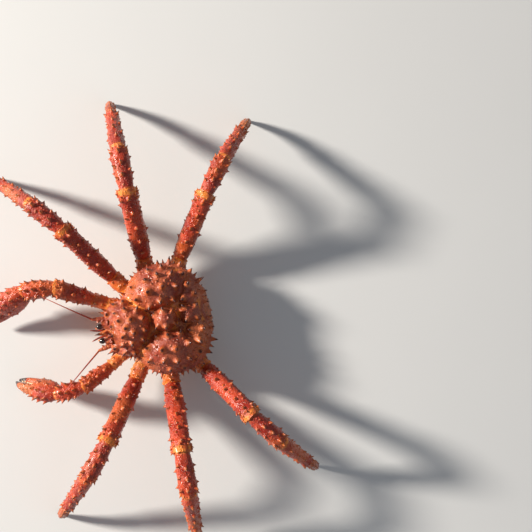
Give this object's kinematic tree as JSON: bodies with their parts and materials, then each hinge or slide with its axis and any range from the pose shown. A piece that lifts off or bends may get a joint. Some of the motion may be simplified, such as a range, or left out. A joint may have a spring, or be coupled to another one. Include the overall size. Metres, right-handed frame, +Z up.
{
  "type": "red king crab",
  "caption": "Life-size still model of a red king crab standing on its spiny walking legs, both claws held low in front.",
  "frame": {"origin": "on the floor under the middle of the animal's box", "axes": "+Z up, the animal faces -Y, its left side is +X"},
  "size_m": [0.6978, 0.471, 0.1627],
  "materials": {
    "back_shell": "wet calcified shell, brick red with darker mottling",
    "leg_shell": "wet calcified shell, orange red",
    "joint_shell": "wet shell, orange to cream",
    "underside": "smooth cream shell",
    "claw_tip": "horny dark claw",
    "feeler": "thin ringed feeler",
    "eye": "polished black"
  },
  "bodies": {
    "root": {"abdomen_base": "back_shell", "abdomen_flap": "underside", "antenna_left_base": "back_shell", "antenna_left_whip": "feeler", "antenna_right_base": "back_shell", "antenna_right_whip": "feeler", "antennule_left": "feeler", "antennule_right": "feeler", "breast": "underside", "carapace": "back_shell", "cheliped_left_base": "joint_shell", "cheliped_left_carpus": "leg_shell", "cheliped_left_finger": "claw_tip", "cheliped_left_merus": "leg_shell", "cheliped_left_palm": "leg_shell", "cheliped_right_base": "joint_shell", "cheliped_right_carpus": "leg_shell", "cheliped_right_finger": "claw_tip", "cheliped_right_merus": "leg_shell", "cheliped_right_palm": "leg_shell", "eye_left": "eye", "eye_right": "eye", "eyestalk_left": "back_shell", "eyestalk_right": "back_shell", "leg1_left_base": "joint_shell", "leg1_left_carpus": "leg_shell", "leg1_left_dactylus": "claw_tip", "leg1_left_merus": "leg_shell", "leg1_left_propodus": "leg_shell", "leg1_right_base": "joint_shell", "leg1_right_carpus": "leg_shell", "leg1_right_dactylus": "claw_tip", "leg1_right_merus": "leg_shell", "leg1_right_propodus": "leg_shell", "leg2_left_base": "joint_shell", "leg2_left_carpus": "leg_shell", "leg2_left_dactylus": "claw_tip", "leg2_left_merus": "leg_shell", "leg2_left_propodus": "leg_shell", "leg2_right_base": "joint_shell", "leg2_right_carpus": "leg_shell", "leg2_right_dactylus": "claw_tip", "leg2_right_merus": "leg_shell", "leg2_right_propodus": "leg_shell", "leg3_left_base": "joint_shell", "leg3_left_carpus": "leg_shell", "leg3_left_dactylus": "claw_tip", "leg3_left_merus": "leg_shell", "leg3_left_propodus": "leg_shell", "leg3_right_base": "joint_shell", "leg3_right_carpus": "leg_shell", "leg3_right_dactylus": "claw_tip", "leg3_right_merus": "leg_shell", "leg3_right_propodus": "leg_shell", "maxilliped_left": "joint_shell", "maxilliped_right": "joint_shell"}
  },
  "joints": []
}
